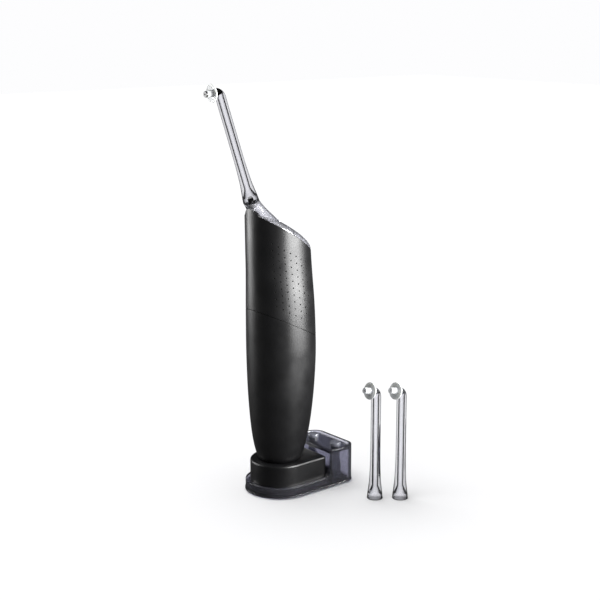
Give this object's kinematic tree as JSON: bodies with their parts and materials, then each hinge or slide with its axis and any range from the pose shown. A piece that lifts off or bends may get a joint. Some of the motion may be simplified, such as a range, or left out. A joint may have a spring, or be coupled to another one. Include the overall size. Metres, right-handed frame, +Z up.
{
  "type": "water flosser",
  "caption": "Cordless water flosser with a clear angled nozzle and lidded reservoir, standing on an inductive charger in a smoked tray with nozzle pegs, spare nozzles beside it.",
  "frame": {"origin": "on the underside, where the axis of the charging post meets the surface it stands on", "axes": "+Z up, -Y to the front, where the nozzle points, +Y to the nozzle holder, +X to the side where the spare nozzles stand"},
  "size_m": [0.1002, 0.1208, 0.2921],
  "materials": {
    "smoked_clear": "smoky translucent polycarbonate, polished",
    "black_rubber": "moulded rubber, matt",
    "grey_rubber": "soft silicone, matt",
    "charger_black": "satin black moulding",
    "post_black": "polished black moulding",
    "copper": "enamelled copper winding",
    "ferrite": "sintered ferrite",
    "board_green": "solder-masked board",
    "housing_black": "satin black moulding, dimpled at the sides",
    "seam_black": "matt black band",
    "clear": "clear moulded plastic, polished",
    "natural_plastic": "unfilled natural moulding",
    "mid_grey": "grey moulding",
    "steel": "plain steel",
    "battery_wrap": "shrink sleeve",
    "brass_parts": "turned brass",
    "lens": "frosted light pipe",
    "button_grey": "dark grey satin moulding",
    "acetal": "acetal moulding",
    "white_tip": "white soft plastic, slightly translucent",
    "jet_dark": "dark moulded insert",
    "jet_pale": "pale moulded insert"
  },
  "bodies": {
    "tray": {"tray_dish": "smoked_clear", "tray_pad": "black_rubber", "holder_plate": "smoked_clear", "holder_peg_left": "smoked_clear", "holder_peg_right": "smoked_clear"},
    "charger": {"charger_shell": "charger_black", "charger_base_plate": "charger_black", "charger_screws": "steel", "charging_post": "post_black", "charger_coil": "copper", "charger_core": "ferrite", "charger_board": "board_green", "cord_gland": "black_rubber"},
    "handset": {"upper_housing": "housing_black", "lower_housing": "housing_black", "seam_ring": "seam_black", "bottom_cap": "post_black", "bottom_gasket": "grey_rubber", "reservoir": "clear", "nozzle_spigot": "natural_plastic", "spigot_seal": "black_rubber", "nozzle_key": "mid_grey", "hinge_pin": "steel", "chassis": "natural_plastic", "battery": "battery_wrap", "battery_cap": "brass_parts", "receiving_coil": "copper", "motor": "steel", "gear_axle": "steel", "pump_cylinder": "natural_plastic", "pump_head": "natural_plastic", "inlet_valve": "black_rubber", "water_pipe": "natural_plastic", "circuit_board": "board_green", "button_switches": "mid_grey", "indicator_lens": "lens"},
    "lid": {"reservoir_lid": "clear", "lid_seal": "grey_rubber"},
    "activation": {"activation_button": "button_grey"},
    "power": {"power_button": "button_grey"},
    "rotor": {"motor_pinion": "brass_parts", "motor_shaft": "steel"},
    "gear": {"drive_gear": "acetal"},
    "piston": {"pump_piston": "acetal", "piston_seal": "black_rubber", "pump_spring": "steel"},
    "nozzle": {"nozzle_tube": "clear", "nozzle_disc": "white_tip", "nozzle_jet": "jet_dark"},
    "spare_1": {"spare_1_tube": "clear", "spare_1_disc": "white_tip", "spare_1_jet": "jet_pale"},
    "spare_2": {"spare_2_tube": "clear", "spare_2_disc": "white_tip", "spare_2_jet": "jet_pale"}
  },
  "joints": [
    {"name": "charger_lift", "type": "slide", "parent": "tray", "child": "charger", "axis": [0, 0, 1], "range_m": [0, 0.03]},
    {"name": "handset_lift", "type": "slide", "parent": "charger", "child": "handset", "axis": [0, 0, 1], "range_m": [0, 0.03]},
    {"name": "nozzle_pull", "type": "slide", "parent": "handset", "child": "nozzle", "axis": [0, -0.3223, 0.9466], "range_m": [0, 0.015]},
    {"name": "lid_hinge", "type": "hinge", "parent": "handset", "child": "lid", "pos_m": [0, -0.00254, 0.19606], "axis": [1, 0, 0], "range_deg": [0, 95]},
    {"name": "activation_press", "type": "slide", "parent": "handset", "child": "activation", "axis": [0, -1, 0], "range_m": [0, 0.0012], "stiffness_N_per_m": 300, "springref_m": -0.001},
    {"name": "power_press", "type": "slide", "parent": "handset", "child": "power", "axis": [0, -1, 0], "range_m": [0, 0.001], "stiffness_N_per_m": 300, "springref_m": -0.001},
    {"name": "drive_gear_turn", "type": "hinge", "parent": "handset", "child": "gear", "pos_m": [0.011, 0.002, 0.108], "axis": [-1, 0, 0], "range_deg": [0, 60]},
    {"name": "motor_turn", "type": "hinge", "parent": "handset", "child": "rotor", "pos_m": [0.011, 0.002, 0.1], "axis": [-1, 0, 0], "range_deg": [-180, 0]},
    {"name": "piston_stroke", "type": "slide", "parent": "handset", "child": "piston", "axis": [0, 0, -1], "range_m": [0, 0.00628], "stiffness_N_per_m": 120, "springref_m": -0.002, "deforming": ["pump_spring"]},
    {"name": "spare_1_lift", "type": "slide", "parent": "tray", "child": "spare_1", "axis": [0, 0, 1], "range_m": [0, 0.02]},
    {"name": "spare_2_lift", "type": "slide", "parent": "tray", "child": "spare_2", "axis": [0, 0, 1], "range_m": [0, 0.02]}
  ],
  "couplings": [
    {"joint": "drive_gear_turn", "follows": "piston_stroke", "rad_per_m": 166.67},
    {"joint": "motor_turn", "follows": "piston_stroke", "rad_per_m": -500}
  ]
}
